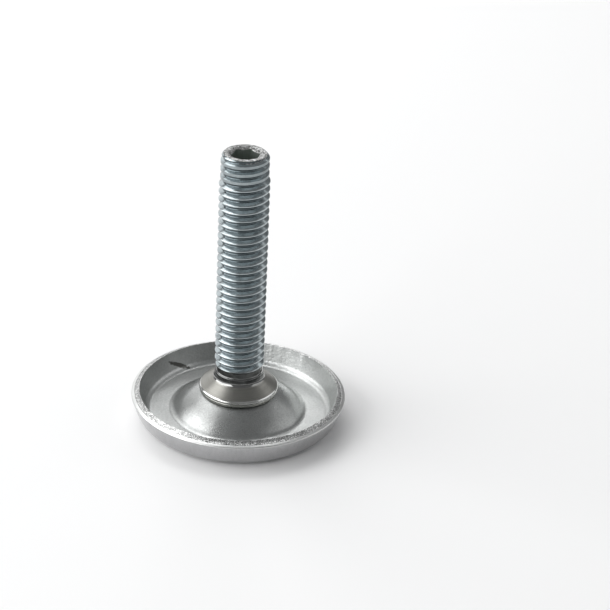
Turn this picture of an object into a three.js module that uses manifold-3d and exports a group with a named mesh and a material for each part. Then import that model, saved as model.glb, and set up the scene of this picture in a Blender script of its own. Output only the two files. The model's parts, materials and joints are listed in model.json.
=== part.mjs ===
// Furniture levelling foot: a dished steel base plate, riveted loosely to a hollow M8 stud.
// Millimetres, +Z up. The origin is the centre of the ring that stands on the floor.

import * as THREE from 'three';
import { mergeVertices } from 'three/addons/utils/BufferGeometryUtils.js';
import Module from 'manifold-3d';

const wasm = await Module();
wasm.setup();

// ---- driving dimensions ----

// M8 x 1.25 right-hand thread
const PITCH = 1.25;
const CREST_R = 3.935;
const ROOT_R = 3.235;
const FLANK_ANGLE = THREE.MathUtils.degToRad(30);
const THREAD_PHASE = 0.125;      // height, within one pitch, at which the crest crosses +X
const THREAD_BOTTOM = 9.45;
const STUD_TOP = 45.8;

// the end of the stud that enters the furniture
const LEAD_CREST_R = 3.72;       // the first turns are not rolled to full height
const LEAD_LENGTH = 4.3;
const END_FACE_R = 3.3;
const END_CHAMFER = 0.5;

// hexagon drive, 4 mm across flats, right through the stud
const HEX_FLATS = 4;
const HEX_TURN = THREE.MathUtils.degToRad(13);   // of a corner, from +X
const HEX_MOUTH_R = 2.55;         // countersink, at the end face
const HEX_MOUTH_DEPTH = 0.45;
const HEX_MOUTH_LOW_R = 1.95;

// neck, bell collar and riveted tail
const BLANK_R = 3.6;
const SHOULDER_R = 3.87;         // a plain band between the collar's fillet and the neck
const SHOULDER_LOW_Z = 7.98;
const SHOULDER_TOP_Z = 8.58;
const SHOULDER_STEP = 0.1;
const COLLAR_FILLET = 0.93;
const COLLAR_SLOPE = THREE.MathUtils.degToRad(33.5);
const COLLAR_R = 6.33;
const COLLAR_EDGE_Z = 5.58;      // centre of the rounded edge
const COLLAR_EDGE_ROUND = 0.5;
const TAIL_BORE_R = 2.7;
const TAIL_BORE_LOW_Z = 3.4;
const TAIL_BORE_HIGH_Z = 4.9;
const TAIL_BORE_END_R = 1.8;     // where it has narrowed into the hexagon hole
const TAIL_BORE_END_Z = 5.6;
const LIP_R = 5.45;
const LIP_Z = 1.3;
const LIP_MOUTH_R = 4.3;
const LIP_MOUTH_ROUND = 1.6;

// base plate, pressed from sheet
const SHEET = 1.45;
const RIM_R = 17.15;
const RIM_Z = 4.3;
const FLARE = THREE.MathUtils.degToRad(18.5);
const WALL = 2.4;                // straight stretch of the wall, on the outside
const INNER_CORNER_ROUND = 0.8;
const RIM_BURR = 0.15;           // the sheared rim leans in by this much
const RECESS_ROUND = 2.0;        // underside bend between the floor ring and the recess
const HOLE_R = 5.0;

// The seat is part of a sphere, so the stud and its washers can slide and tilt on it.
const PIVOT_Z = -7.6;
const SEAT_SPHERE_R = 13.8;
const GAP = 0.15;                // between pieces that slide on each other

const UPPER_WASHER = { bore: 4.6, rim: 6.22, thickness: 0.45 };
const LOWER_WASHER = { bore: 3.75, rim: 6.5, thickness: 0.8 };

const PLATE_SEGMENTS = 48;
const STUD_SEGMENTS = 32;
const THREAD_SEGMENTS = 20;
const ROUND_STEPS = 4;

// ---- helpers: outlines are lists of points with x = radius and y = height ----

const point = (radius, height) => new THREE.Vector2(radius, height);

// Height at the given radius of a sphere about the pivot.
const sphereHeight = (sphere, radius) => PIVOT_Z + Math.sqrt(sphere ** 2 - radius ** 2);

// Points along a sphere about the pivot, from one radius to another.
function sphereArc(sphere, from, to, steps) {
  const points = [];
  for (let i = 0; i <= steps; i++) {
    const radius = THREE.MathUtils.lerp(from, to, i / steps);
    points.push(point(radius, sphereHeight(sphere, radius)));
  }
  return points;
}

// Points of a circular arc, by centre, radius and start and end angle.
function arc(radius, height, size, from, to, steps = ROUND_STEPS) {
  const points = [];
  for (let i = 0; i <= steps; i++) {
    const angle = THREE.MathUtils.lerp(from, to, i / steps);
    points.push(point(radius + size * Math.cos(angle), height + size * Math.sin(angle)));
  }
  return points;
}

// Body of revolution about Z. The outline runs counter-clockwise seen with radius to the right,
// and either closes on itself or starts and ends on the axis.
function turned(outline, segments) {
  const onAxis = outline[0].x === 0;
  const points = onAxis ? outline : [...outline, outline[0].clone()];
  return new THREE.LatheGeometry(points, segments).rotateX(Math.PI / 2);
}

function toSolid(geometry) {
  const bare = geometry.clone();
  bare.deleteAttribute('normal');
  bare.deleteAttribute('uv');
  const merged = mergeVertices(bare, 1e-4);
  return new wasm.Manifold(new wasm.Mesh({
    numProp: 3,
    vertProperties: merged.attributes.position.array,
    triVerts: Uint32Array.from(merged.index.array),
  }));
}

function toGeometry(solid) {
  const mesh = solid.getMesh();
  const geometry = new THREE.BufferGeometry();
  geometry.setAttribute('position', new THREE.BufferAttribute(mesh.vertProperties, 3));
  geometry.setIndex(new THREE.BufferAttribute(mesh.triVerts, 1));
  geometry.computeVertexNormals();
  return geometry;
}

// ---- base plate ----

function basePlate() {
  const along = point(Math.sin(FLARE), Math.cos(FLARE));
  const inward = point(-along.y, along.x);

  const wallFoot = point(RIM_R - WALL * along.x, RIM_Z - WALL * along.y);
  const bendRound = wallFoot.y / (1 - Math.sin(FLARE));
  const bendR = wallFoot.x - bendRound * Math.cos(FLARE);
  const underBend = arc(bendR, bendRound, bendRound, -Math.PI / 2, -FLARE, 5);

  const rimOuter = point(RIM_R, RIM_Z);
  const rimInner = rimOuter.clone()
    .addScaledVector(inward, SHEET)
    .addScaledVector(along, RIM_BURR);
  const cornerR = rimInner.x - (rimInner.y - SHEET) * Math.tan(FLARE);
  const cornerTangent = INNER_CORNER_ROUND * Math.tan((Math.PI / 2 - FLARE) / 2);
  const innerCorner = arc(
    cornerR - cornerTangent, SHEET + INNER_CORNER_ROUND, INNER_CORNER_ROUND, -FLARE, -Math.PI / 2);

  // The bend round the foot of the dome: one centre, the small radius on top, the large one below.
  const undersideSphere = SEAT_SPHERE_R - SHEET;
  const domeBendR = Math.sqrt((undersideSphere + RECESS_ROUND) ** 2 - (RECESS_ROUND - PIVOT_Z) ** 2);
  const domeLean = Math.atan2(domeBendR, RECESS_ROUND - PIVOT_Z);
  const towardsPivot = -Math.PI / 2 - domeLean;
  const topBend = arc(domeBendR, RECESS_ROUND, RECESS_ROUND - SHEET, -Math.PI / 2, towardsPivot);
  const underRecess = arc(domeBendR, RECESS_ROUND, RECESS_ROUND, towardsPivot, -Math.PI / 2);

  return turned([
    ...underBend,
    rimOuter,
    rimInner,
    ...innerCorner,
    ...topBend,
    ...sphereArc(SEAT_SPHERE_R, topBend.at(-1).x, HOLE_R, 5).slice(1),
    ...sphereArc(undersideSphere, HOLE_R, underRecess[0].x, 4).slice(0, -1),
    ...underRecess,
  ], PLATE_SEGMENTS);
}

// ---- washers, dished to the sphere of the seat ----

function dishedWasher({ bore, rim, thickness }, underside) {
  return turned([
    ...sphereArc(underside, bore, rim, 3),
    ...sphereArc(underside + thickness, rim, bore, 3),
  ], PLATE_SEGMENTS);
}

const upperWasherUnderside = SEAT_SPHERE_R + GAP;
const collarUnderside = upperWasherUnderside + UPPER_WASHER.thickness + GAP;
const lowerWasherUnderside = SEAT_SPHERE_R - SHEET - GAP - LOWER_WASHER.thickness;
const lipTop = lowerWasherUnderside - GAP;

// ---- stud ----

// A rod with the thread on it. Each turn of the skin has four rows of points, for the two edges of
// the root and the two edges of the crest, and every row climbs one pitch a turn, so that the end of
// each turn meets the start of the next. Both ends are steps, closed by fans, and are cut off later.
function threadedRod(bottom, top) {
  const flank = (CREST_R - ROOT_R) * Math.tan(FLANK_ANGLE) / PITCH;
  const crest = 1 / 8;
  const rowsPerTurn = [
    { rise: crest / 2, radius: CREST_R },
    { rise: crest / 2 + flank, radius: ROOT_R },
    { rise: 1 - crest / 2 - flank, radius: ROOT_R },
    { rise: 1 - crest / 2, radius: CREST_R },
  ];
  const firstTurn = Math.floor((bottom - THREAD_PHASE) / PITCH) - 2;
  const turns = Math.ceil((top - bottom) / PITCH) + 4;
  const rows = turns * rowsPerTurn.length;

  const positions = [];
  for (let row = 0; row < rows; row++) {
    const turn = firstTurn + Math.floor(row / rowsPerTurn.length);
    const { rise, radius } = rowsPerTurn[row % rowsPerTurn.length];
    for (let step = 0; step < THREAD_SEGMENTS; step++) {
      const part = step / THREAD_SEGMENTS;
      const angle = 2 * Math.PI * part;
      const height = THREAD_PHASE + (turn + rise + part) * PITCH;
      positions.push(radius * Math.cos(angle), radius * Math.sin(angle), height);
    }
  }

  // The point after the last one of a row is the first one of the row a turn higher.
  const at = (row, step) => step < THREAD_SEGMENTS
    ? row * THREAD_SEGMENTS + step
    : (row + rowsPerTurn.length) * THREAD_SEGMENTS;
  const triangles = [];
  for (let row = 0; row < rows - 1; row++) {
    for (let step = 0; step < THREAD_SEGMENTS; step++) {
      if (step === THREAD_SEGMENTS - 1 && row + 1 + rowsPerTurn.length >= rows) continue;
      const [a, b, c, d] = [at(row, step), at(row, step + 1), at(row + 1, step + 1), at(row + 1, step)];
      triangles.push(a, b, c, a, c, d);
    }
  }

  const ring = (row) => Array.from({ length: THREAD_SEGMENTS }, (_, step) => at(row, step));
  const seam = Array.from({ length: rowsPerTurn.length }, (_, i) => i + 1);
  const lowerLoop = [...ring(0), ...seam.map((i) => at(rowsPerTurn.length - i + 1, 0))];
  const upperLoop = [...ring(rows - 1), ...seam.map((i) => at(rows - 1 - i, THREAD_SEGMENTS - 1))];
  const closeWithFan = (loop, height, facesUp) => {
    const hub = positions.length / 3;
    positions.push(0, 0, height);
    loop.forEach((from, i) => {
      const to = loop[(i + 1) % loop.length];
      triangles.push(hub, facesUp ? from : to, facesUp ? to : from);
    });
  };
  const ends = [THREAD_PHASE + (firstTurn + 0.5) * PITCH, THREAD_PHASE + (firstTurn + turns) * PITCH];
  closeWithFan(lowerLoop, ends[0], false);
  closeWithFan(upperLoop, ends[1], true);

  const geometry = new THREE.BufferGeometry();
  geometry.setAttribute('position', new THREE.Float32BufferAttribute(positions, 3));
  geometry.setIndex(triangles);
  return geometry;
}

// The outer shape that the threaded length is trimmed to: full crests, the lower first turns, and
// the chamfered end face.
function threadEnvelope() {
  const past = 0.2;
  return turned([
    point(0, THREAD_BOTTOM),
    point(BLANK_R, THREAD_BOTTOM),
    point(CREST_R + past, THREAD_BOTTOM + CREST_R + past - BLANK_R),
    point(CREST_R + past, STUD_TOP - LEAD_LENGTH - past),
    point(LEAD_CREST_R, STUD_TOP - LEAD_LENGTH + past),
    point(LEAD_CREST_R, STUD_TOP - END_CHAMFER),
    point(END_FACE_R, STUD_TOP),
    point(0, STUD_TOP),
  ], STUD_SEGMENTS);
}

// Neck, bell collar and the tail that is flared over the lower washer, up to just inside the thread.
function collarAndTail() {
  const lipRound = (sphereHeight(lipTop, LIP_R) - LIP_Z) / 2;
  const across = Math.PI / 2 - COLLAR_SLOPE;
  const undercut = 0.1;
  const insideThread = THREAD_BOTTOM + 0.3;
  return turned([
    point(0, SHOULDER_TOP_Z),
    point(TAIL_BORE_END_R, TAIL_BORE_END_Z),
    point(TAIL_BORE_R, TAIL_BORE_HIGH_Z),
    point(TAIL_BORE_R, TAIL_BORE_LOW_Z),
    ...arc(LIP_MOUTH_R, LIP_Z + LIP_MOUTH_ROUND, LIP_MOUTH_ROUND, Math.PI, 1.5 * Math.PI),
    ...arc(LIP_R - lipRound, LIP_Z + lipRound, lipRound, -Math.PI / 2, Math.PI / 2, 5),
    ...sphereArc(lipTop, LIP_R - lipRound - undercut, BLANK_R, 2),
    ...sphereArc(collarUnderside, BLANK_R, COLLAR_R - undercut, 3),
    ...arc(COLLAR_R - COLLAR_EDGE_ROUND, COLLAR_EDGE_Z, COLLAR_EDGE_ROUND, -undercut, across),
    ...arc(SHOULDER_R + COLLAR_FILLET, SHOULDER_LOW_Z, COLLAR_FILLET, Math.PI + across, Math.PI),
    point(SHOULDER_R, SHOULDER_TOP_Z),
    point(BLANK_R, SHOULDER_TOP_Z + SHOULDER_STEP),
    point(BLANK_R, insideThread),
    point(0, insideThread),
  ], STUD_SEGMENTS);
}

function hexDrive() {
  const corner = HEX_FLATS / Math.sqrt(3);
  const length = STUD_TOP + 2;
  const bar = new THREE.CylinderGeometry(corner, corner, length, 6, 1)
    .rotateX(Math.PI / 2)
    .rotateZ(HEX_TURN + Math.PI / 2)
    .translate(0, 0, length / 2);
  const past = 0.1;
  const mouthLow = STUD_TOP - HEX_MOUTH_DEPTH;
  const mouth = turned([
    point(0, mouthLow - 1),
    point(HEX_MOUTH_LOW_R, mouthLow),
    point(HEX_MOUTH_R + past, STUD_TOP + past),
    point(0, STUD_TOP + past),
  ], STUD_SEGMENTS);
  return toSolid(bar).add(toSolid(mouth));
}

function threadedStud() {
  const thread = toSolid(threadedRod(THREAD_BOTTOM, STUD_TOP)).intersect(toSolid(threadEnvelope()));
  return toGeometry(thread.add(toSolid(collarAndTail())).subtract(hexDrive()));
}

// ---- the assembly ----

const zincPlate = new THREE.MeshStandardMaterial({ color: 0xc4c6c6, roughness: 0.42, metalness: 1 });
const zincThread = new THREE.MeshStandardMaterial({ color: 0xa9b2ba, roughness: 0.3, metalness: 1 });
const plainSteel = new THREE.MeshStandardMaterial({ color: 0x9b9a94, roughness: 0.35, metalness: 1 });

function named(name, geometry, material) {
  const mesh = new THREE.Mesh(geometry, material);
  mesh.name = name;
  return mesh;
}

const foot = new THREE.Group();
foot.add(
  named('base_plate', basePlate(), zincPlate),
  named('threaded_stud', threadedStud(), zincThread),
  named('upper_washer', dishedWasher(UPPER_WASHER, upperWasherUnderside), plainSteel),
  named('lower_washer', dishedWasher(LOWER_WASHER, lowerWasherUnderside), plainSteel.clone()),
);

export default foot;
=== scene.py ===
"""A furniture levelling foot: a dished steel plate, riveted loosely to a hollow threaded stud."""
import json
import math

import bpy
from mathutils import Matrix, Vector


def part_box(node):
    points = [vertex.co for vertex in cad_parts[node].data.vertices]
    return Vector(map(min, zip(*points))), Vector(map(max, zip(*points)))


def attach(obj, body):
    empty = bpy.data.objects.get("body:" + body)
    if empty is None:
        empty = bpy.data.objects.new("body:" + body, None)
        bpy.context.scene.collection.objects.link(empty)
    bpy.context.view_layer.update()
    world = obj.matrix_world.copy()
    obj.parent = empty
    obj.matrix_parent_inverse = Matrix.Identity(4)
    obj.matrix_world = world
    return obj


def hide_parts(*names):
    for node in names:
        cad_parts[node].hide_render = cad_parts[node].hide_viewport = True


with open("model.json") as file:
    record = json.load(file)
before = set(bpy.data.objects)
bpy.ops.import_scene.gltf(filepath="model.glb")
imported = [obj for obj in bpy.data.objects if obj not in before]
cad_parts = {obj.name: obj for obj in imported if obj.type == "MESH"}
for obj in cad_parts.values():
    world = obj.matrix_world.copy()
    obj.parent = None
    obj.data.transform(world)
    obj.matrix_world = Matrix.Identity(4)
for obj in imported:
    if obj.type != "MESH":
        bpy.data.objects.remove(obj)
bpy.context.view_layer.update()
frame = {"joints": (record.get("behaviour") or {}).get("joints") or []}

bl_info = {
    "name": "Levelling Foot",
    "version": (1, 0, 0),
    "blender": (4, 5, 0),
    "location": "View3D > Sidebar > Levelling Foot",
    "description": "Models a furniture levelling foot on its CAD frame and lights it",
    "category": "Object",
}

MM = 0.001
DOUBLE = 0.0005 * MM  # vertices closer than this are one

PLATE_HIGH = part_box("base_plate")[1]
STUD_LOW, STUD_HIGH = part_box("threaded_stud")

# The seat of the plate is part of a sphere about the point that the stud tilts on.
PIVOT_Z = next(joint["pos_m"][2] for joint in frame["joints"] if joint["name"] == "seat_tilt_x")


# ---------------------------------------------------------------------------
# Settings
# ---------------------------------------------------------------------------

def length(name, description, millimetres):
    """A length that the user can change, given in millimetres."""
    return bpy.props.FloatProperty(
        name=name, description=description, default=millimetres * MM, unit="LENGTH", precision=5)


def angle(name, description, degrees):
    """An angle that the user can change, given in degrees."""
    return bpy.props.FloatProperty(
        name=name, description=description, default=math.radians(degrees), subtype="ANGLE")


def tint(name, description, code):
    """A colour that the user can change, given as an sRGB hex code."""
    return bpy.props.FloatVectorProperty(
        name=name, description=description, default=linear(code)[:3], subtype="COLOR", size=3)


def linear(code):
    """The linear colour of an sRGB hex code."""
    channels = []
    for start in (1, 3, 5):
        value = int(code[start:start + 2], 16) / 255
        channels.append(value / 12.92 if value <= 0.04045 else ((value + 0.055) / 1.055) ** 2.4)
    return (*channels, 1.0)


class PlateSettings(bpy.types.PropertyGroup):
    """Sizes of the pressed base plate."""
    sheet: length("Sheet", "Thickness of the sheet steel", 1.45)
    rim_radius: length("Rim radius", "Radius of the outer edge of the rim", PLATE_HIGH.x / MM)
    rim_height: length("Rim height", "Height of the outer edge of the rim", 4.3)
    wall: length("Wall", "Straight stretch of the flared wall", 2.4)
    flare: angle("Flare", "Lean of the wall from upright", 18.5)
    seat_sphere: length("Seat sphere", "Radius of the sphere that the seat is part of", 13.8)
    hole_radius: length("Hole radius", "Radius of the hole for the tail of the stud", 5.0)
    recess_round: length("Recess bend", "Bend between the floor ring and the recess", 2.0)
    corner_round: length("Corner round", "Round of the inner corner", 1.2)
    dome_round: length("Dome foot", "Round of the corner between the floor and the dome", 1.8)
    edge_round: length("Edge round", "Roll-over of the sheared rim's outer edge", 0.16)
    burnish: length("Burnish", "Width of the smooth band that the shear leaves on the rim", 0.55)
    burr: length("Burr", "Height of the burr on the rim's inner edge", 0.15)
    crease_radius: length("Crease radius", "Where the shoulder meets the ring it stands on", 14.1)
    recess_edge: length("Recess edge", "Where the ring's matt finish gives way to the recess", 10.6)
    dome_edge: length("Dome edge", "Where the dome's finish gives way to the flat floor", 11.1)
    tear_depth: length("Tear depth", "How far the torn band is roughened", 0.035)


class StudSettings(bpy.types.PropertyGroup):
    """Sizes of the stud."""
    pitch: length("Pitch", "Pitch of the thread", 1.25)
    crest_radius: length("Crest radius", "Radius of the thread's crests", 3.93)
    root_radius: length("Root radius", "Radius of the thread's roots", 3.235)
    crest_round: length("Crest round", "Rounding of the crests", 0.16)
    lead_radius: length("Lead crest radius", "Crest radius of the turns at the free end", 3.72)
    lead_length: length("Lead length", "Length of the turns that aren't rolled to full height", 4.3)
    thread_bottom: length("Thread bottom", "Height at which the thread starts", 9.45)
    end_radius: length("End radius", "Radius of the flat end face, inside its chamfer", 3.3)
    neck_radius: length("Neck radius", "Radius of the plain neck below the thread", 3.6)
    shoulder_radius: length("Shoulder radius", "Radius of the band above the collar's fillet", 3.87)
    shoulder_low: length("Shoulder foot", "Height at which that band starts", 7.98)
    shoulder_top: length("Shoulder top", "Height at which that band ends", 8.58)
    fillet: length("Fillet", "Radius of the fillet between the collar and the band", 0.93)
    collar_height: length("Collar height", "Height of the collar's widest edge", 5.58)
    collar_edge: length("Collar edge", "Radius that the collar's edge is rounded to", 0.5)
    collar_slope: angle("Collar slope", "Slope of the collar's bell", 33.5)
    seat_sphere: length("Seat sphere", "Radius of the hollow sphere under the collar", 14.55)
    tail_radius: length("Tail radius", "Radius of the tubular tail through the plate", 3.6)
    lip_sphere: length("Lip sphere", "Radius of the sphere under the lower washer", 11.25)
    lip_radius: length("Lip radius", "Radius of the flared lip under the plate", 5.45)
    mouth_radius: length("Mouth radius", "Radius at which the mouth's round is centred", 4.3)
    mouth_round: length("Mouth round", "Radius of the rounded mouth of the tail", 1.6)
    bore_radius: length("Bore radius", "Radius of the bore in the tail", 2.7)
    bore_low: length("Bore foot", "Height at which the straight bore starts", 3.4)
    bore_high: length("Bore top", "Height at which the straight bore ends", 4.9)
    bore_end_radius: length("Bore end radius", "Radius to which the bore narrows", 1.8)
    bore_end: length("Bore end", "Height to which the bore narrows", 5.6)
    bore_tip: length("Bore tip", "Height at which the narrowed bore comes to a point", 8.65)
    hex_flats: length("Hexagon", "Width across the flats of the hexagon hole", 4.0)
    hex_mouth_radius: length("Hexagon mouth", "Radius of the hexagon's mouth at the end face", 2.65)
    hex_mouth_low: length("Hexagon mouth foot", "Radius at which that mouth ends", 1.95)
    hex_mouth_depth: length("Hexagon mouth depth", "Depth of that mouth", 0.45)
    hex_turn: angle("Hexagon turn", "Turn of a corner of the hexagon from X", 13)


class WasherSettings(bpy.types.PropertyGroup):
    """Sizes of the two washers, which are parts of spheres about the point the stud tilts on."""
    upper_sphere: length("Upper sphere", "Radius of the upper washer's underside", 13.95)
    upper_sheet: length("Upper sheet", "Thickness of the upper washer", 0.45)
    upper_bore: length("Upper hole", "Radius of the upper washer's hole", 4.6)
    upper_rim: length("Upper rim", "Radius of the upper washer's rim", 6.22)
    lower_sphere: length("Lower sphere", "Radius of the lower washer's underside", 11.4)
    lower_sheet: length("Lower sheet", "Thickness of the lower washer", 0.8)
    lower_bore: length("Lower hole", "Radius of the lower washer's hole", 3.75)
    lower_rim: length("Lower rim", "Radius of the lower washer's rim", 6.5)
    edge: length("Edge", "Width of the bevel along the washers' edges", 0.11)


class FinishSettings(bpy.types.PropertyGroup):
    """Colours of the finishes."""
    plate: tint("Plate", "Zinc plating on the pressed plate", "#BCBEBD")
    shoulder: tint("Shoulder", "Bright zinc on the drawn wall and shoulder", "#BEBEBF")
    ring: tint("Ring", "Matt zinc on the ring that the foot stands on", "#BBB9B2")
    edge: tint("Edge", "Sheared steel edge under its thin plating", "#DCDDDC")
    thread: tint("Thread", "Blue zinc plating on the thread", "#B0B9BC")
    collar: tint("Collar", "Zinc plating on the collar", "#999893")
    washer: tint("Washers", "Zinc plating on the washers", "#BBBBB6")
    bore: tint("Bore", "Steel inside the hexagon hole", "#C3CBC5")
    floor: tint("Floor", "Studio floor", "#F8F8F8")


# ---------------------------------------------------------------------------
# Outlines: lists of (radius, height)
# ---------------------------------------------------------------------------

def arc(radius, height, size, start, end, steps):
    """Points of a circular arc, by its centre, radius and end angles."""
    points = []
    for i in range(steps + 1):
        angle = start + (end - start) * i / steps
        points.append((radius + size * math.cos(angle), height + size * math.sin(angle)))
    return points


def sphere_height(sphere, radius):
    """Height at a radius of a sphere about the pivot."""
    return PIVOT_Z + math.sqrt(sphere ** 2 - radius ** 2)


def sphere_arc(sphere, start, end, steps):
    """Points along a sphere about the pivot, from one radius to another."""
    points = []
    for i in range(steps + 1):
        radius = start + (end - start) * i / steps
        points.append((radius, sphere_height(sphere, radius)))
    return points


# ---------------------------------------------------------------------------
# Modelling helpers
# ---------------------------------------------------------------------------

def clear_selection():
    """Leaves edit mode and deselects every object, CAD nodes included."""
    if bpy.context.object and bpy.context.object.mode != "OBJECT":
        bpy.ops.object.mode_set(mode="OBJECT")
    bpy.ops.object.select_all(action="DESELECT")


def pick(piece):
    """Selects one piece and makes it the active object."""
    clear_selection()
    piece.select_set(True)
    bpy.context.view_layer.objects.active = piece


def draw_outline(name, points):
    """Starts a piece as one point, and extrudes it along the outline in the X-Z plane."""
    clear_selection()
    bpy.ops.mesh.primitive_plane_add(size=MM)
    piece = bpy.context.object
    piece.name = piece.data.name = name
    bpy.ops.object.mode_set(mode="EDIT")
    bpy.ops.mesh.select_mode(type="VERT")
    bpy.ops.mesh.merge(type="CENTER")
    bpy.ops.transform.translate(value=(points[0][0], 0, points[0][1]))
    for (radius, height), (next_radius, next_height) in zip(points, points[1:]):
        bpy.ops.mesh.extrude_vertices_move(
            TRANSFORM_OT_translate={"value": (next_radius - radius, 0, next_height - height)})
    return piece


def turn(name, points, corners, closed=True):
    """A body of revolution: the outline is drawn, spun round Z and welded."""
    outline = points + points[:1] if closed else points
    piece = draw_outline(name, outline)
    bpy.ops.mesh.select_all(action="SELECT")
    bpy.ops.mesh.spin(steps=corners, angle=2 * math.pi, center=(0, 0, 0), axis=(0, 0, 1))
    weld()
    return piece


def weld():
    """Merges doubles and turns the faces outwards. Works in edit mode, and leaves it."""
    bpy.ops.mesh.select_all(action="SELECT")
    bpy.ops.mesh.remove_doubles(threshold=DOUBLE)
    bpy.ops.mesh.normals_make_consistent(inside=False)
    bpy.ops.object.mode_set(mode="OBJECT")


def boolean(piece, tool, operation):
    """Cuts or joins the piece with another one, which is used up."""
    pick(piece)
    modifier = piece.modifiers.new(operation.title(), "BOOLEAN")
    modifier.operation = operation
    modifier.solver = "EXACT"
    modifier.object = tool
    bpy.ops.object.modifier_apply(modifier=modifier.name)
    bpy.data.objects.remove(tool)


def smooth(piece, degrees):
    """Smooth shading, with edges sharper than the angle kept crisp."""
    pick(piece)
    bpy.ops.object.shade_smooth_by_angle(angle=math.radians(degrees))


def paint(piece, material, where):
    """Gives a material to the faces whose centre's radius and height, and normal, pass the test."""
    piece.data.materials.append(material)
    index = len(piece.data.materials) - 1
    for face in piece.data.polygons:
        radius = math.hypot(face.center.x, face.center.y)
        if where(radius, face.center.z, face.normal):
            face.material_index = index


# ---------------------------------------------------------------------------
# Materials
# ---------------------------------------------------------------------------

# The Mix node's sockets for colours, which share their names with its sockets for numbers.
MIX_A, MIX_B, MIX_RESULT = 6, 7, 2


def add_node(tree, kind, settings=None, links=None):
    """Adds a shader node, sets its properties and sockets, and links its sockets."""
    node = tree.nodes.new("ShaderNode" + kind)
    for key, value in (settings or {}).items():
        if isinstance(key, str) and hasattr(node, key):
            setattr(node, key, value)
        else:
            node.inputs[key].default_value = value
    for key, source in (links or {}).items():
        tree.links.new(source, node.inputs[key])
    return node


def new_material(name):
    """An empty node material."""
    material = bpy.data.materials.new(name)
    material.use_nodes = True
    material.node_tree.nodes.clear()
    return material, material.node_tree


def section_place(tree, place):
    """Where a point is in the section of a turned piece, and its radius alone."""
    flat = add_node(tree, "VectorMath", {"operation": "MULTIPLY", 1: (1, 1, 0)}, {0: place})
    radius = add_node(tree, "VectorMath", {"operation": "LENGTH"}, {
        0: flat.outputs[0]}).outputs["Value"]
    height = add_node(tree, "SeparateXYZ", links={0: place}).outputs["Z"]
    section = add_node(tree, "CombineXYZ", links={"X": radius, "Y": height}).outputs[0]
    return section, radius


def lumps(tree, place, sizes, detail=2):
    """A pattern from 0 to 1 whose lumps are about the given millimetres along each axis."""
    scaled = add_node(tree, "Mapping", {"Scale": [1 / (size * MM) for size in sizes]}, {
        "Vector": place}).outputs[0]
    return add_node(tree, "TexNoise", {"Scale": 1, "Detail": detail}, {
        "Vector": scaled}).outputs["Fac"]


def metal_output(tree, colour, roughness, height, depth):
    """Ends a material with a metal shader, whose relief is about depth millimetres deep."""
    normal = add_node(tree, "Bump", {"Strength": 1, "Distance": depth * MM}, {
        "Height": height}).outputs[0]
    shader = add_node(tree, "BsdfPrincipled", {"Metallic": 1}, {
        "Base Color": colour, "Roughness": roughness, "Normal": normal})
    add_node(tree, "OutputMaterial", links={"Surface": shader.outputs[0]})


def plated_steel(name, colour, shade, roughness, grain, depth, streaks=None, mark=None):
    """Zinc on steel that a press has stretched or ironed.

    The eye sees a satin metal with a fine grain, cloudy where the plating is thicker, and where
    streaks gives their sizes along X, Y and Z, the drag marks of the tool.
    """
    material, tree = new_material(name)
    place = add_node(tree, "TexCoord").outputs["Object"]
    clouds = lumps(tree, place, (5, 5, 5), 3)
    fine = lumps(tree, place, (grain, grain, grain))
    drag = lumps(tree, place, streaks, 3) if streaks else fine
    patches = add_node(tree, "MapRange", {
        "From Min": 0.35, "From Max": 0.7, "To Min": 0.0, "To Max": 0.55,
    }, {"Value": clouds}).outputs[0]
    dark = add_node(tree, "MapRange", {
        "From Min": 0.3, "From Max": 0.75, "To Min": -0.15, "To Max": 0.35,
    }, {"Value": drag}).outputs[0]
    amount = add_node(tree, "Math", {"operation": "ADD", "use_clamp": True}, {
        0: patches, 1: dark}).outputs[0]
    tone = add_node(tree, "Mix", {
        "data_type": "RGBA", MIX_A: (*colour, 1), MIX_B: (*shade, 1),
    }, {0: amount}).outputs[MIX_RESULT]
    if mark:
        tone = mark(tree, place, tone)
    low, high = roughness
    blend = add_node(tree, "Math", {"operation": "MULTIPLY"}, {0: clouds, 1: drag}).outputs[0]
    gloss = add_node(tree, "MapRange", {
        "From Min": 0.12, "From Max": 0.42, "To Min": low, "To Max": high,
    }, {"Value": blend}).outputs[0]
    height = add_node(tree, "Math", {"operation": "ADD"}, {0: fine, 1: drag}).outputs[0]
    metal_output(tree, tone, gloss, height, depth)
    return material


def dark_wall_patch(tree, place, tone):
    """A short, ragged dark patch on the inner wall."""
    local = add_node(tree, "Mapping", {
        "vector_type": "TEXTURE",
        "Location": [value * MM for value in (-10.5, 11.1, 2.5)],
        "Rotation": [math.radians(value) for value in (0, 28, 34)],
        "Scale": [value * MM for value in (2.5, 1.4, 0.4)]}, {"Vector": place}).outputs[0]
    ragged = lumps(tree, place, (0.5, 0.5, 0.3))
    away = add_node(tree, "VectorMath", {"operation": "LENGTH"}, {0: local}).outputs["Value"]
    rough = add_node(tree, "Math", {"operation": "ADD"}, {0: away, 1: ragged}).outputs[0]
    inside = add_node(tree, "MapRange", {
        "From Min": 1.5, "From Max": 1.25, "To Min": 0.0, "To Max": 0.85,
    }, {"Value": rough}).outputs[0]
    # The patch's colour is mixed over the plate's tone inside the ragged oval.
    return add_node(tree, "Mix", {"data_type": "RGBA", MIX_B: linear("#3E3D38")}, {
        0: inside, MIX_A: tone}).outputs[MIX_RESULT]


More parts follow.
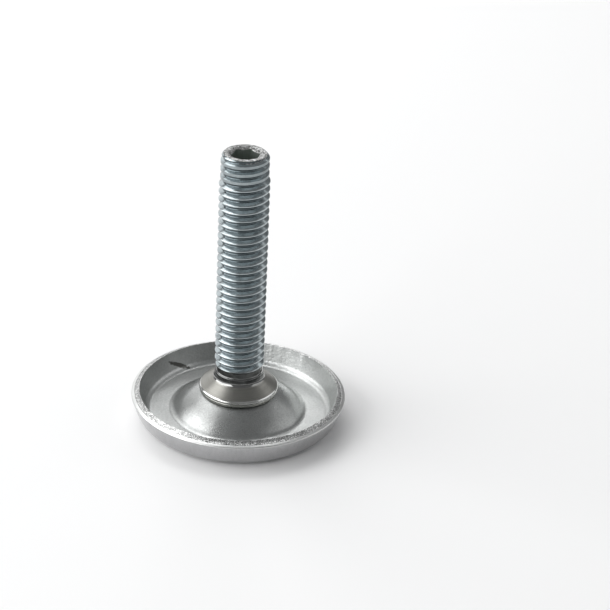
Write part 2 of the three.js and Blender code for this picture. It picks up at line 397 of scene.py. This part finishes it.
def sheared_steel(name, colour, shade, crystal, depth, roughness):
    """Steel as a shear or a saw leaves it.

    The eye sees torn grains that sparkle between dark pits, all coarser than the real grain of the
    steel so that they show.
    """
    material, tree = new_material(name)
    place = add_node(tree, "TexCoord").outputs["Object"]
    scaled = add_node(tree, "Mapping", {"Scale": [1 / (crystal * MM)] * 3}, {
        "Vector": place}).outputs[0]
    cells = add_node(tree, "TexVoronoi", {"Scale": 1, "Randomness": 1}, {"Vector": scaled})
    torn = lumps(tree, place, (crystal * 0.8,) * 3, 4)
    split = add_node(tree, "SeparateXYZ", links={0: cells.outputs["Color"]}).outputs[0]
    spread = add_node(tree, "Math", {"operation": "MULTIPLY"}, {0: split, 1: torn}).outputs[0]
    amount = add_node(tree, "MapRange", {
        "From Min": 0.1, "From Max": 0.5, "To Min": 0, "To Max": 1,
    }, {"Value": spread}).outputs[0]
    tone = add_node(tree, "Mix", {
        "data_type": "RGBA", MIX_A: (*shade, 1), MIX_B: (*colour, 1),
    }, {0: amount}).outputs[MIX_RESULT]
    low, high = roughness
    gloss = add_node(tree, "MapRange", {
        "From Min": 0.3, "From Max": 0.7, "To Min": low, "To Max": high,
    }, {"Value": torn}).outputs[0]
    height = add_node(tree, "Math", {"operation": "ADD"}, {0: split, 1: torn}).outputs[0]
    metal_output(tree, tone, gloss, height, depth)
    return material


def rolled_thread(name, colour, crest, root, stud):
    """Blue zinc on a rolled thread.

    Rolling leaves smooth flanks with fine flow lines that run with the thread. The crests are
    painted lighter, a painted highlight, and the roots darker, painted shade in the grooves.
    """
    material, tree = new_material(name)
    place = add_node(tree, "TexCoord").outputs["Object"]
    section, radius = section_place(tree, place)
    flow = lumps(tree, section, (0.09, 2.5, 1), 2)
    clouds = lumps(tree, place, (1.6, 1.6, 1.0), 3)
    pits = lumps(tree, place, (0.3, 0.3, 0.3), 3)
    wavy = add_node(tree, "Math", {"operation": "MULTIPLY_ADD", 1: 0.12 * MM}, {
        0: pits, 2: radius}).outputs[0]
    # Painted shade: the colour darkens towards the roots of the thread.
    root_shade = add_node(tree, "MapRange", {
        "From Min": stud.root_radius + 0.24 * MM, "From Max": stud.root_radius + 0.08 * MM,
        "To Min": 0.0, "To Max": 0.9,
    }, {"Value": wavy}).outputs[0]
    # Painted highlight: the colour lightens along the crests.
    crest_highlight = add_node(tree, "MapRange", {
        "From Min": stud.crest_radius - 0.10 * MM, "From Max": stud.crest_radius,
        "To Min": 0.0, "To Max": 0.5,
    }, {"Value": wavy}).outputs[0]
    dull = add_node(tree, "MapRange", {
        "From Min": 0.38, "From Max": 0.72, "To Min": 0.0, "To Max": 0.5,
    }, {"Value": clouds}).outputs[0]
    # Random cloudy dullness, together with the painted shade in the roots.
    clouds_and_root_shade = add_node(tree, "Math", {"operation": "MAXIMUM"}, {0: dull, 1: root_shade}).outputs[0]
    tone = add_node(tree, "Mix", {
        "data_type": "RGBA", MIX_A: (*colour, 1), MIX_B: root,
    }, {0: clouds_and_root_shade}).outputs[MIX_RESULT]
    tone = add_node(tree, "Mix", {"data_type": "RGBA", MIX_B: crest}, {
        0: crest_highlight, MIX_A: tone}).outputs[MIX_RESULT]
    blend = add_node(tree, "Math", {"operation": "MULTIPLY"}, {0: clouds, 1: pits}).outputs[0]
    gloss = add_node(tree, "MapRange", {
        "From Min": 0.1, "From Max": 0.4, "To Min": 0.11, "To Max": 0.24,
    }, {"Value": blend}).outputs[0]
    height = add_node(tree, "Math", {"operation": "ADD"}, {0: flow, 1: pits}).outputs[0]
    metal_output(tree, tone, gloss, height, 0.004)
    return material


def turned_steel(name, colour, shade, roughness, line, depth):
    """Zinc on a face that was turned on a lathe.

    The eye sees fine rings round the axis, drawn coarser than the real feed so that they show,
    which stretch each reflection along the slope.
    """
    material, tree = new_material(name)
    place = add_node(tree, "TexCoord").outputs["Object"]
    section = section_place(tree, place)[0]
    rings = lumps(tree, section, (line, line, 1), 3)
    clouds = lumps(tree, place, (2.5, 2.5, 1.5), 3)
    grain = lumps(tree, place, (0.25, 0.25, 0.25))
    both = add_node(tree, "Math", {"operation": "MULTIPLY"}, {0: rings, 1: clouds}).outputs[0]
    amount = add_node(tree, "MapRange", {
        "From Min": 0.12, "From Max": 0.45, "To Min": 0, "To Max": 0.9,
    }, {"Value": both}).outputs[0]
    tone = add_node(tree, "Mix", {
        "data_type": "RGBA", MIX_A: (*colour, 1), MIX_B: (*shade, 1),
    }, {0: amount}).outputs[MIX_RESULT]
    low, high = roughness
    gloss = add_node(tree, "MapRange", {
        "From Min": 0.3, "From Max": 0.7, "To Min": low, "To Max": high,
    }, {"Value": rings}).outputs[0]
    height = add_node(tree, "Math", {"operation": "MULTIPLY_ADD", 1: 0.4}, {
        0: grain, 2: rings}).outputs[0]
    metal_output(tree, tone, gloss, height, depth)
    return material


def darker(colour, share):
    """The same colour with only a share of its light."""
    return [channel * share for channel in colour]


# ---------------------------------------------------------------------------
# Pieces
# ---------------------------------------------------------------------------

class FOOT_OT_base_plate(bpy.types.Operator):
    """Models the pressed base plate"""
    bl_idname = "foot.base_plate"
    bl_label = "Base Plate"

    def execute(self, context):
        size = context.scene.foot_plate
        finish = context.scene.foot_finish
        plate = turn("pressed_plate", [
            *self.underside(size), *self.rim(size), *self.inside(size), *self.dome(size)], 320)
        self.tear(plate, size)
        self.finish(plate, size, finish)
        smooth(plate, 30)
        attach(plate, "base")
        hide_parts("base_plate")
        return {"FINISHED"}

    def rim_point(self, size, along, proud=0):
        """A point of the sheared face: along it from its outer edge, and proud of it."""
        lean_x, lean_z = math.sin(size.flare), math.cos(size.flare)
        return (size.rim_radius - along * lean_z + proud * lean_x,
                size.rim_height + along * lean_x + proud * lean_z)

    def underside(self, size):
        """The ring that the foot stands on, the crease and the drawn shoulder."""
        lean_x, lean_z = math.sin(size.flare), math.cos(size.flare)
        foot_r = size.rim_radius - size.wall * lean_x
        foot_z = size.rim_height - size.wall * lean_z
        bend = foot_z / (1 - lean_x)
        middle = foot_r - bend * lean_z
        first = -math.pi / 2 + math.asin((size.crease_radius + 0.06 * MM - middle) / bend)
        crease = size.crease_radius
        flat_from, flat_to = 12.3 * MM, 13.3 * MM
        return [
            (flat_from, 0),
            (flat_to, 0),
            (crease - 0.35 * MM, 0.008 * MM),
            (crease - 0.06 * MM, 0.03 * MM),
            (crease, 0.075 * MM),
            *arc(middle, bend, bend, first, -size.flare, 18),
        ]

    def rim(self, size):
        """The sheared face: rolled over, burnished, then torn, with a burr on the inner edge."""
        rolled = size.edge_round
        seam = size.burnish + 0.07 * MM
        seam_depth = 0.045 * MM
        steps = 5
        torn = (size.sheet - seam - 0.1 * MM) / steps
        middle = self.rim_point(size, rolled, -rolled)
        return [
            *arc(*middle, rolled, -size.flare, math.pi / 2 - size.flare, 5),
            self.rim_point(size, size.burnish, 0.01 * MM),
            self.rim_point(size, seam, -seam_depth),
            *(self.rim_point(size, seam + 0.05 * MM + torn * i, size.burr * (i / steps) ** 2)
              for i in range(steps + 1)),
            self.rim_point(size, size.sheet - 0.01 * MM, size.burr * 0.85),
        ]

    def inside(self, size):
        """The inner wall down to its corner with the floor."""
        inner_r, inner_z = self.rim_point(size, size.sheet, size.burr)
        corner_r = inner_r - (inner_z - size.sheet) * math.tan(size.flare)
        tangent = size.corner_round * math.tan((math.pi / 2 - size.flare) / 2)
        return [
            (inner_r - 0.05 * MM, inner_z - 0.2 * MM),
            *arc(corner_r - tangent, size.sheet + size.corner_round, size.corner_round,
                 -size.flare, -math.pi / 2, 10),
        ]

    def dome(self, size):
        """The dome with the seat and its hole, then the recess back to the ring."""
        underside = size.seat_sphere - size.sheet
        bend = size.recess_round
        middle = math.sqrt((underside + bend) ** 2 - (bend - PIVOT_Z) ** 2)
        to_pivot = -math.pi / 2 - math.atan2(middle, bend - PIVOT_Z)
        foot = size.dome_round
        foot_z = size.sheet + foot
        foot_r = math.sqrt((size.seat_sphere + foot) ** 2 - (foot_z - PIVOT_Z) ** 2)
        to_seat = -math.pi / 2 - math.atan2(foot_r, foot_z - PIVOT_Z)
        top_bend = arc(foot_r, foot_z, foot, -math.pi / 2, to_seat, 10)
        under_bend = arc(middle, bend, bend, to_pivot, -math.pi / 2, 14)
        return [
            *top_bend,
            *sphere_arc(size.seat_sphere, top_bend[-1][0], size.hole_radius + 0.1 * MM, 16)[1:],
            (size.hole_radius, sphere_height(size.seat_sphere, size.hole_radius) - 0.1 * MM),
            *sphere_arc(underside, size.hole_radius, under_bend[0][0], 14)[:-1],
            *under_bend,
        ]

    def tear(self, plate, size):
        """Roughens the torn band and the burr."""
        pick(plate)
        bpy.ops.object.mode_set(mode="EDIT")
        bpy.ops.mesh.select_all(action="DESELECT")
        bpy.ops.object.mode_set(mode="OBJECT")
        inner = self.rim_point(size, size.burnish + 0.1 * MM)
        for vertex in plate.data.vertices:
            radius = math.hypot(vertex.co.x, vertex.co.y)
            vertex.select = size.crease_radius < radius < inner[0] and vertex.co.z > inner[1]
        bpy.ops.object.mode_set(mode="EDIT")
        bpy.ops.transform.vertex_random(offset=size.tear_depth, uniform=0, normal=0, seed=7)
        bpy.ops.object.mode_set(mode="OBJECT")

    def finish(self, plate, size, finish):
        """Gives each zone of the pressing its own finish."""
        plate.data.materials.append(plated_steel(
            "Zinc-plated steel, pressed", finish.plate, darker(finish.plate, 0.72),
            (0.30, 0.45), 0.36, 0.018, mark=dark_wall_patch))
        rim_out = self.rim_point(size, 0)
        wall_in = rim_out[0] - 1.6 * MM
        burnish_low = rim_out[1] - 0.12 * MM
        rim_seam = self.rim_point(size, size.burnish + 0.04 * MM)
        paint(plate, plated_steel(
            "Zinc-plated steel, stretched over the punch", darker(finish.plate, 0.93),
            darker(finish.plate, 0.45), (0.25, 0.4), 0.22, 0.009),
            lambda radius, height, normal: normal.z > 0 and radius < size.dome_edge)
        paint(plate, plated_steel(
            "Bright zinc on drawn steel", finish.shoulder, darker(finish.shoulder, 0.8),
            (0.17, 0.27), 0.5, 0.004, streaks=(0.5, 0.5, 6)),
            lambda radius, height, normal: radius > size.crease_radius and (
                normal.z < -0.25
                or height < rim_out[1] and radius > wall_in and normal.z < 0))
        paint(plate, plated_steel(
            "Matt zinc on steel, flattened", finish.ring, darker(finish.ring, 0.78),
            (0.40, 0.52), 0.28, 0.012),
            lambda radius, height, normal: normal.z < -0.3
            and size.recess_edge < radius < size.crease_radius)
        paint(plate, plated_steel(
            "Zinc-plated steel, drawn smooth", darker(finish.plate, 0.8),
            darker(finish.plate, 0.55), (0.22, 0.32), 0.4, 0.006),
            lambda radius, height, normal: normal.z < -0.3 and radius <= size.recess_edge)
        paint(plate, plated_steel(
            "Zinc-plated steel, burnished by the shear", finish.edge, darker(finish.edge, 0.75),
            (0.28, 0.40), 0.25, 0.008, streaks=(0.3, 0.3, 0.9)),
            lambda radius, height, normal: radius > rim_seam[0] and height > burnish_low
            and normal.z > 0.05)
        paint(plate, sheared_steel(
            "Zinc-plated steel, torn by the shear", finish.edge, darker(finish.edge, 0.5),
            0.24, 0.05, (0.12, 0.35)),
            lambda radius, height, normal: size.crease_radius < radius <= rim_seam[0]
            and height > rim_seam[1] - 0.02 * MM and normal.z > 0.35)


class FOOT_OT_threaded_stud(bpy.types.Operator):
    """Models the hollow stud with its thread, collar and flared tail"""
    bl_idname = "foot.threaded_stud"
    bl_label = "Threaded Stud"

    def execute(self, context):
        size = context.scene.foot_stud
        stud = self.thread(size)
        boolean(stud, self.envelope(size), "INTERSECT")
        boolean(stud, self.collar_and_tail(size), "UNION")
        boolean(stud, self.hex_hole(size), "DIFFERENCE")
        self.finish(stud, size, context.scene.foot_finish)
        smooth(stud, 32)
        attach(stud, "stud")
        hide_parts("threaded_stud")
        return {"FINISHED"}

    def thread(self, size):
        """A closed rod with the rolled thread on it."""
        half_pitch = size.pitch / 2
        flank = math.radians(30)
        depth = size.crest_radius - size.root_radius
        rounds = (half_pitch - depth * math.tan(flank)) / (math.cos(flank) - 0.5 * math.tan(flank))
        crest = size.crest_round
        root = rounds - crest
        sixty = math.radians(60)
        valley = arc(size.root_radius + root, 0, root, math.pi, math.pi - sixty, 4)
        ridge = arc(size.crest_radius - crest, half_pitch, crest, -sixty, sixty, 8)
        climb = arc(size.root_radius + root, size.pitch, root, math.pi + sixty, math.pi, 4)
        piece = draw_outline("threaded_rod", [*valley, *ridge, *climb])
        # The crest crosses +X at the height that the CAD thread has, give or take whole pitches.
        phase = 0.125 * MM + half_pitch
        start = phase + math.floor((size.thread_bottom - phase) / size.pitch - 2) * size.pitch
        bpy.ops.mesh.select_all(action="SELECT")
        bpy.ops.transform.translate(value=(0, 0, start))
        bpy.ops.object.mode_set(mode="OBJECT")
        screw = piece.modifiers.new("Screw", "SCREW")
        screw.axis = "Z"
        screw.angle = 2 * math.pi
        screw.screw_offset = size.pitch
        screw.iterations = math.ceil((STUD_HIGH.z - size.thread_bottom) / size.pitch) + 4
        screw.steps = screw.render_steps = 96
        bpy.ops.object.modifier_apply(modifier=screw.name)
        bpy.ops.object.mode_set(mode="EDIT")
        bpy.ops.mesh.select_all(action="SELECT")
        bpy.ops.mesh.remove_doubles(threshold=DOUBLE)
        for height, inner in ((size.thread_bottom, True), (STUD_HIGH.z, False)):
            bpy.ops.mesh.select_all(action="SELECT")
            bpy.ops.mesh.bisect(
                plane_co=(0, 0, height), plane_no=(0, 0, 1), use_fill=True,
                clear_inner=inner, clear_outer=not inner, threshold=0.0001 * MM)
        weld()
        return piece

    def envelope(self, size):
        """What the thread is trimmed to: run-out below, lower first turns and a chamfered end."""
        top = STUD_HIGH.z - 0.001 * MM
        past = 0.2 * MM
        wide = size.crest_radius + past
        core = size.neck_radius - 0.05 * MM
        below = size.thread_bottom - MM
        run_out = 1.3
        chamfer = 0.55 * MM
        return turn("envelope", [
            (0, below),
            (core, below),
            (core, size.thread_bottom),
            (wide, size.thread_bottom + run_out * (wide - size.neck_radius)),
            (wide, STUD_HIGH.z - size.lead_length - past),
            (size.lead_radius, STUD_HIGH.z - size.lead_length + past),
            (size.lead_radius, STUD_HIGH.z - chamfer),
            (size.end_radius + 0.14 * MM, STUD_HIGH.z - 0.12 * MM),
            (size.end_radius, top),
            (0, top),
        ], 96, closed=False)

    def collar_and_tail(self, size):
        """Neck, bell collar and the tail that is flared over the lower washer."""
        collar_r = STUD_HIGH.x
        lip_z = STUD_LOW.z
        lip_round = (sphere_height(size.lip_sphere, size.lip_radius) - lip_z) / 2
        across = math.pi / 2 - size.collar_slope
        corner = 0.1 * MM
        shoulder_round = 0.08 * MM
        neck_top = size.thread_bottom + 0.17 * MM
        cone = 0.25 * MM
        return turn("collar_and_tail", [
            (0, size.bore_tip),
            (size.bore_end_radius, size.bore_end),
            (size.bore_radius, size.bore_high),
            (size.bore_radius, size.bore_low),
            *arc(size.mouth_radius, lip_z + size.mouth_round, size.mouth_round,
                 math.pi, 1.5 * math.pi, 16),
            *arc(size.lip_radius - lip_round, lip_z + lip_round, lip_round,
                 -math.pi / 2, math.pi / 2, 14),
            *sphere_arc(size.lip_sphere, size.lip_radius - lip_round - corner, size.tail_radius, 4),
            *sphere_arc(size.seat_sphere, size.tail_radius, collar_r - corner, 6),
            *arc(collar_r - size.collar_edge, size.collar_height, size.collar_edge,
                 -0.12, across, 12),
            *arc(size.shoulder_radius + size.fillet, size.shoulder_low, size.fillet,
                 math.pi + across, math.pi, 12),
            *arc(size.shoulder_radius - shoulder_round, size.shoulder_top - shoulder_round,
                 shoulder_round, 0, math.pi / 2, 4),
            *arc(size.neck_radius + corner, size.shoulder_top + corner, corner,
                 -math.pi / 2, -math.pi, 4),
            (size.neck_radius, neck_top),
            (size.neck_radius - cone, neck_top + cone),
            (0, neck_top + cone),
        ], 160, closed=False)

    def hex_hole(self, size):
        """The bar and the countersink that are cut out."""
        bar_length = 60 * MM
        bar_middle = 25 * MM
        clear_selection()
        bpy.ops.mesh.primitive_cylinder_add(
            vertices=6, radius=size.hex_flats / math.sqrt(3), depth=bar_length,
            location=(0, 0, bar_middle), rotation=(0, 0, size.hex_turn + math.pi / 6))
        bpy.ops.object.transform_apply(location=True, rotation=True)
        bar = bpy.context.object
        top = STUD_HIGH.z
        past = 0.1 * MM
        tip_depth = 1.4 * MM
        mouth = turn("mouth", [
            (0, top - tip_depth),
            (size.hex_mouth_low, top - size.hex_mouth_depth),
            (size.hex_mouth_radius, top + past),
            (0, top + past),
        ], 64, closed=False)
        boolean(bar, mouth, "UNION")
        return bar

    def finish(self, stud, size, finish):
        """Gives each zone of the stud its own finish."""
        stud.data.materials.clear()
        # The two colours after the thread's tint are a painted highlight on the crests (#C6CDCF)
        # and painted shade in the roots (#4A5357).
        stud.data.materials.append(rolled_thread(
            "Blue zinc on a rolled thread", finish.thread, linear("#C6CDCF"), linear("#4A5357"),
            size))
        for face in stud.data.polygons:
            face.material_index = 0
        top = STUD_HIGH.z
        lead = size.lead_radius
        neck_low = size.shoulder_low - 0.65 * MM
        edge_top = size.collar_height + 0.44 * MM
        edge_in = 0.45 * MM
        paint(stud, plated_steel(
            "Zinc on drawn wire, not rolled", darker(finish.thread, 0.8),
            darker(finish.thread, 0.4), (0.25, 0.4), 0.3, 0.02, streaks=(0.6, 0.6, 0.15)),
            lambda radius, height, normal: abs(radius - lead) < 0.03 * MM and abs(normal.z) < 0.35
            and height > top - size.lead_length - 0.4 * MM)
        paint(stud, turned_steel(
            "Zinc on turned steel", finish.collar, darker(finish.collar, 0.72),
            (0.28, 0.40), 0.16, 0.010),
            lambda radius, height, normal: height < size.shoulder_low + 0.05 * MM)
        # The polished neck and fillet are painted dark, with near-black ring patches: painted dark
        # reflections of the dish and the dome.
        paint(stud, turned_steel(
            "Zinc on turned steel, burnished", darker(finish.edge, 0.48), darker(finish.edge, 0.04),
            (0.04, 0.09), 0.4, 0.002),
            lambda radius, height, normal: neck_low <= height < size.thread_bottom)
        # The collar's rounded edge has a smoother finish, and its lighter colour is a painted
        # highlight along the edge.
        paint(stud, turned_steel(
            "Zinc on turned steel, smooth edge with a painted highlight", finish.edge, finish.collar,
            (0.10, 0.2), 0.3, 0.003),
            lambda radius, height, normal: height < edge_top and radius > size.lip_radius + edge_in)
        paint(stud, sheared_steel(
            "Zinc-plated steel, cropped", darker(finish.edge, 0.9), darker(finish.edge, 0.1),
            0.26, 0.08, (0.2, 0.5)),
            lambda radius, height, normal: height > top - 0.5 * MM and radius < size.end_radius
            and normal.z > 0.3)
        paint(stud, plated_steel(
            "Broached steel", finish.bore, darker(finish.bore, 0.55), (0.35, 0.5), 0.3, 0.01,
            streaks=(0.25, 0.25, 5)),
            lambda radius, height, normal: radius < 2.4 * MM and abs(normal.z) < 0.3)


class FOOT_OT_washers(bpy.types.Operator):
    """Models the two dished washers"""
    bl_idname = "foot.washers"
    bl_label = "Washers"

    def execute(self, context):
        size = context.scene.foot_washers
        finish = context.scene.foot_finish
        steel = turned_steel(
            "Zinc-plated spring steel, tumbled", finish.washer, darker(finish.washer, 0.65),
            (0.2, 0.34), 0.4, 0.006)
        for name, node, body, low, sheet, bore, rim in (
            ("seat_washer", "upper_washer", "seat_ring",
             size.upper_sphere, size.upper_sheet, size.upper_bore, size.upper_rim),
            ("tail_washer", "lower_washer", "retainer",
             size.lower_sphere, size.lower_sheet, size.lower_bore, size.lower_rim),
        ):
            washer = turn(name, [
                *sphere_arc(low, bore, rim, 6),
                *sphere_arc(low + sheet, rim, bore, 6),
            ], 160)
            bevel = washer.modifiers.new("Bevel", "BEVEL")
            bevel.width = size.edge
            bevel.segments = 3
            bevel.angle_limit = math.radians(50)
            bpy.ops.object.modifier_apply(modifier=bevel.name)
            washer.data.materials.append(steel)
            smooth(washer, 35)
            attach(washer, body)
            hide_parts(node)
        return {"FINISHED"}


# ---------------------------------------------------------------------------
# Studio
# ---------------------------------------------------------------------------

class FOOT_OT_stage(bpy.types.Operator):
    """Sets the floor, the lights and the camera"""
    bl_idname = "foot.stage"
    bl_label = "Stage"

    def execute(self, context):
        scene = context.scene
        scene.view_settings.view_transform = "Standard"

        clear_selection()
        bpy.ops.mesh.primitive_plane_add(size=3)
        floor = context.object
        floor.name = "studio_floor"
        material, tree = new_material("Matt white paper")
        shader = add_node(tree, "BsdfPrincipled", {
            "Base Color": (*scene.foot_finish.floor, 1),
            "Roughness": 0.9, "Specular IOR Level": 0.2})
        add_node(tree, "OutputMaterial", links={"Surface": shader.outputs[0]})
        floor.data.materials.append(material)

        scene.world = bpy.data.worlds.new("Studio")
        scene.world.use_nodes = True
        background = scene.world.node_tree.nodes["Background"]
        background.inputs["Color"].default_value = (0.98, 0.99, 1.0, 1)
        background.inputs["Strength"].default_value = 0.25

        self.softbox("key_softbox", (-0.66, -0.22, 0.33), (1.3, 0.52), 2.9)
        self.softbox("high_softbox", (-0.42, 0.20, 0.58), (0.9, 0.34), 2.0)
        self.softbox("top_softbox", (-0.06, 0.36, 0.70), (0.45, 0.32), 2.8)
        self.softbox("side_softbox", (0.68, 0.12, 0.40), (0.9, 0.45), 0.75)
        self.softbox("back_softbox", (0.03, 0.76, 0.34), (0.24, 0.34), 2.2)
        self.softbox("corner_softbox", (-0.38, 0.64, 0.22), (0.42, 0.40), 1.0)

        bpy.ops.object.camera_add()
        camera = context.object
        camera.name = "studio_camera"
        camera.data.sensor_width = 36
        camera.data.lens = 113.1
        camera.location = (10.0 * MM, -265.4 * MM, 159.5 * MM)
        camera.rotation_mode = "ZYX"
        camera.rotation_euler = (math.radians(90 - 27.64), 0, math.radians(2.70))
        camera.data.clip_start = 0.01
        scene.camera = camera
        return {"FINISHED"}

    def softbox(self, name, place, sizes, radiance):
        """A flat light that faces the foot, with its width level and the given radiance."""
        bpy.ops.object.light_add(type="AREA", location=place)
        lamp = bpy.context.object
        lamp.name = name
        lamp.data.shape = "RECTANGLE"
        lamp.data.size, lamp.data.size_y = sizes
        lamp.data.energy = radiance * math.pi * sizes[0] * sizes[1]
        aim = Vector((0, 0, 0.015)) - Vector(place)
        lamp.rotation_euler = aim.to_track_quat("-Z", "Y").to_euler()


class FOOT_PT_panel(bpy.types.Panel):
    """Lists the foot's settings and the operators that make it"""
    bl_label = "Levelling Foot"
    bl_idname = "FOOT_PT_panel"
    bl_space_type = "VIEW_3D"
    bl_region_type = "UI"
    bl_category = "Levelling Foot"

    def draw(self, context):
        for group in SETTINGS:
            settings = getattr(context.scene, group)
            for name in settings.bl_rna.properties.keys():
                if name not in ("rna_type", "name"):
                    self.layout.prop(settings, name)
        for operator in OPERATORS:
            self.layout.operator(operator.bl_idname)


SETTINGS = {
    "foot_plate": PlateSettings,
    "foot_stud": StudSettings,
    "foot_washers": WasherSettings,
    "foot_finish": FinishSettings,
}
OPERATORS = (FOOT_OT_base_plate, FOOT_OT_threaded_stud, FOOT_OT_washers, FOOT_OT_stage)


def register():
    for name, group in SETTINGS.items():
        bpy.utils.register_class(group)
        setattr(bpy.types.Scene, name, bpy.props.PointerProperty(type=group))
    for operator in OPERATORS:
        bpy.utils.register_class(operator)
    bpy.utils.register_class(FOOT_PT_panel)


def unregister():
    bpy.utils.unregister_class(FOOT_PT_panel)
    for operator in reversed(OPERATORS):
        bpy.utils.unregister_class(operator)
    for name, group in reversed(SETTINGS.items()):
        delattr(bpy.types.Scene, name)
        bpy.utils.unregister_class(group)


def main():
    register()
    bpy.ops.foot.base_plate()
    bpy.ops.foot.threaded_stud()
    bpy.ops.foot.washers()
    bpy.ops.foot.stage()


if __name__ == "__main__":
    main()
